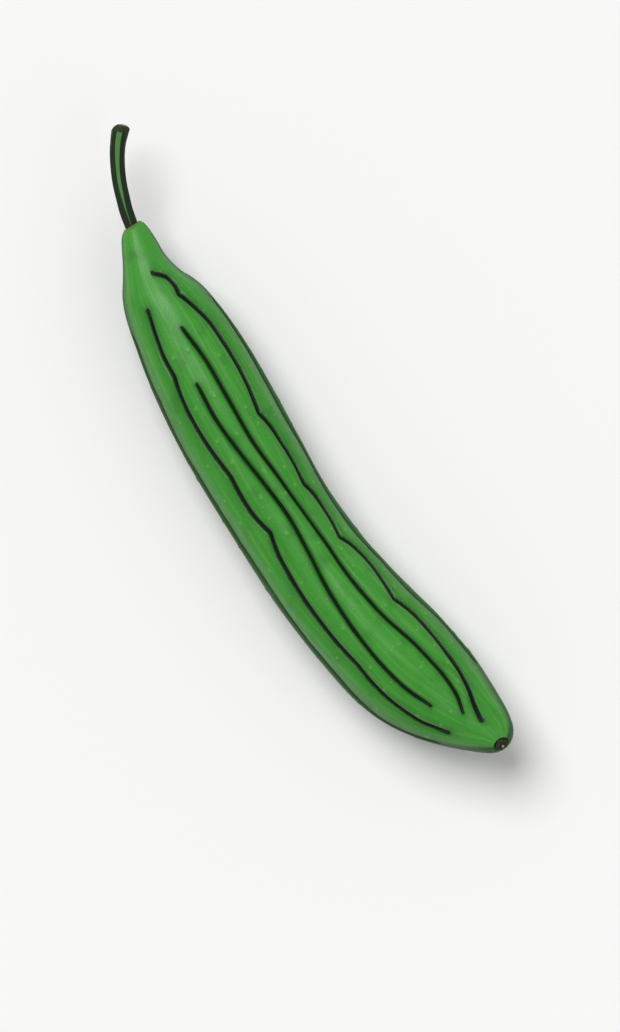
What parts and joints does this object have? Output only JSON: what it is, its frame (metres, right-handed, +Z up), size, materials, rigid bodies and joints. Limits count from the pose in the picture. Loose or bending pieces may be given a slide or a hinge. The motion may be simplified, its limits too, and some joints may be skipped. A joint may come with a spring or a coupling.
{
  "type": "cucumber",
  "caption": "Slender ribbed cucumber with a gentle bend, a narrow neck, a short cut stem and a dry blossom scar, lying on its side.",
  "frame": {"origin": "on the resting surface, under the middle of the object's box", "axes": "+X from the stem towards the blossom end, +Y into the hollow side of the bend, +Z up"},
  "size_m": [0.2932, 0.0553, 0.0469],
  "materials": {
    "skin": "satin",
    "stem_skin": "matte",
    "dry_scar": "matte"
  },
  "bodies": {
    "root": {"fruit": "skin", "stem": "stem_skin", "blossom_scar": "dry_scar"}
  },
  "joints": []
}
